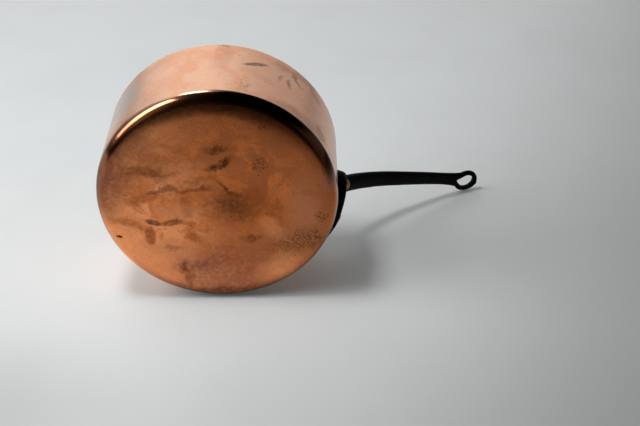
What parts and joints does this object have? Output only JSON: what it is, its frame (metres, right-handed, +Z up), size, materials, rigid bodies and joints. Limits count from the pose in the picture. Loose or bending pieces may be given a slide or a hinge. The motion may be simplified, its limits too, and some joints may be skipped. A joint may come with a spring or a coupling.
{
  "type": "saucepan",
  "caption": "Round straight-walled copper saucepan with a flat base, a pale metal lining and one long upswept cast-iron handle that ends in a teardrop hanging eye.",
  "frame": {"origin": "centre of the base's outside face", "axes": "+Z up the pan's axis towards the rim; +X level along the handle, away from the pan; the pan stands on its base"},
  "size_m": [0.3598, 0.2, 0.1783],
  "materials": {
    "copper": null,
    "lining": "dull wiped tin",
    "cast_iron": "black, slightly grainy",
    "rivet_copper": null
  },
  "bodies": {
    "root": {"copper_pan": "copper", "lining": "lining", "handle": "cast_iron", "rivet_low": "rivet_copper", "rivet_left": "rivet_copper", "rivet_right": "rivet_copper"}
  },
  "joints": []
}
